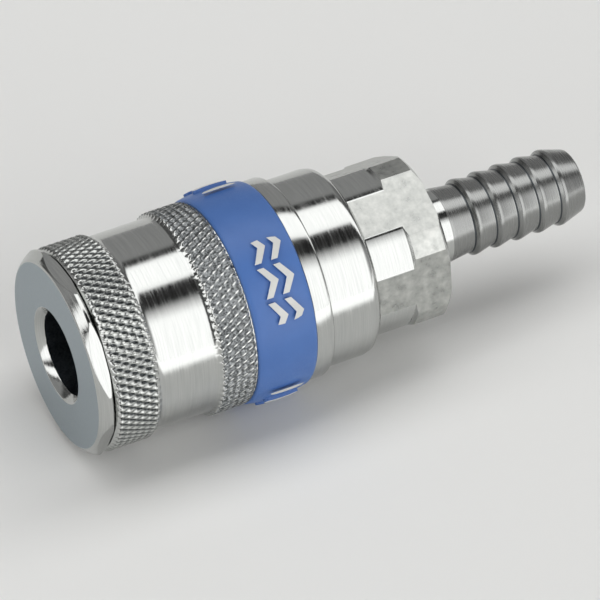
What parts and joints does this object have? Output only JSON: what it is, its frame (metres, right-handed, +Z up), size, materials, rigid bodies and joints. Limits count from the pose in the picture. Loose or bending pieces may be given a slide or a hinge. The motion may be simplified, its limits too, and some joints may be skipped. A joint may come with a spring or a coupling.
{
  "type": "air hose quick coupler",
  "caption": "Steel ball-lock air hose socket with a knurled pull-back sleeve, a blue grip band, a shut-off valve, a spanner hexagon and a barbed hose tail.",
  "frame": {"origin": "on the axis, where the straight wall of the plug bore begins, 1 mm behind the front face", "axes": "+X along the axis from the mouth to the hose, +Z up as the coupler lies on its side"},
  "size_m": [0.0774, 0.0294, 0.0294],
  "materials": {
    "plated_steel": "bright zinc-nickel plate on turned steel",
    "turned_steel": "plated steel with fine turning lines",
    "blue_plastic": "satin moulded, raised motifs silver",
    "spring_steel": "drawn wire",
    "ball_steel": "polished hardened steel",
    "brass": "turned",
    "seal_rubber": "moulded nitrile rubber"
  },
  "bodies": {
    "body": {"front_body": "plated_steel", "rear_body": "plated_steel", "hose_tail": "turned_steel", "plug_seal": "seal_rubber", "body_seal": "seal_rubber", "tail_seal": "seal_rubber", "valve_guide": "brass", "sleeve_spring": "spring_steel", "valve_spring": "spring_steel"},
    "sleeve": {"sleeve": "plated_steel", "band": "blue_plastic"},
    "valve": {"valve_poppet": "brass", "valve_washer": "seal_rubber"},
    "ball_1_body": {"ball_1": "ball_steel"},
    "ball_2_body": {"ball_2": "ball_steel"},
    "ball_3_body": {"ball_3": "ball_steel"},
    "ball_4_body": {"ball_4": "ball_steel"},
    "ball_5_body": {"ball_5": "ball_steel"},
    "ball_6_body": {"ball_6": "ball_steel"}
  },
  "joints": [
    {"name": "sleeve_slide", "type": "slide", "parent": "body", "child": "sleeve", "axis": [1, 0, 0], "range_m": [0, 0.0034], "stiffness_N_per_m": 3000, "springref_m": -0.004, "deforming": ["sleeve_spring"]},
    {"name": "valve_slide", "type": "slide", "parent": "body", "child": "valve", "axis": [1, 0, 0], "range_m": [0, 0.004], "stiffness_N_per_m": 800, "springref_m": -0.006, "deforming": ["valve_spring"]},
    {"name": "ball_1_lift", "type": "slide", "parent": "body", "child": "ball_1_body", "axis": [0, 1, 0], "range_m": [0, 0.00102]},
    {"name": "ball_2_lift", "type": "slide", "parent": "body", "child": "ball_2_body", "axis": [0, 0.5, 0.866], "range_m": [0, 0.00102]},
    {"name": "ball_3_lift", "type": "slide", "parent": "body", "child": "ball_3_body", "axis": [0, -0.5, 0.866], "range_m": [0, 0.00102]},
    {"name": "ball_4_lift", "type": "slide", "parent": "body", "child": "ball_4_body", "axis": [0, -1, 0], "range_m": [0, 0.00102]},
    {"name": "ball_5_lift", "type": "slide", "parent": "body", "child": "ball_5_body", "axis": [0, -0.5, -0.866], "range_m": [0, 0.00102]},
    {"name": "ball_6_lift", "type": "slide", "parent": "body", "child": "ball_6_body", "axis": [0, 0.5, -0.866], "range_m": [0, 0.00102]}
  ],
  "couplings": [
    {"joint": "ball_1_lift", "follows": "sleeve_slide", "ratio": 0.3},
    {"joint": "ball_2_lift", "follows": "sleeve_slide", "ratio": 0.3},
    {"joint": "ball_3_lift", "follows": "sleeve_slide", "ratio": 0.3},
    {"joint": "ball_4_lift", "follows": "sleeve_slide", "ratio": 0.3},
    {"joint": "ball_5_lift", "follows": "sleeve_slide", "ratio": 0.3},
    {"joint": "ball_6_lift", "follows": "sleeve_slide", "ratio": 0.3}
  ]
}
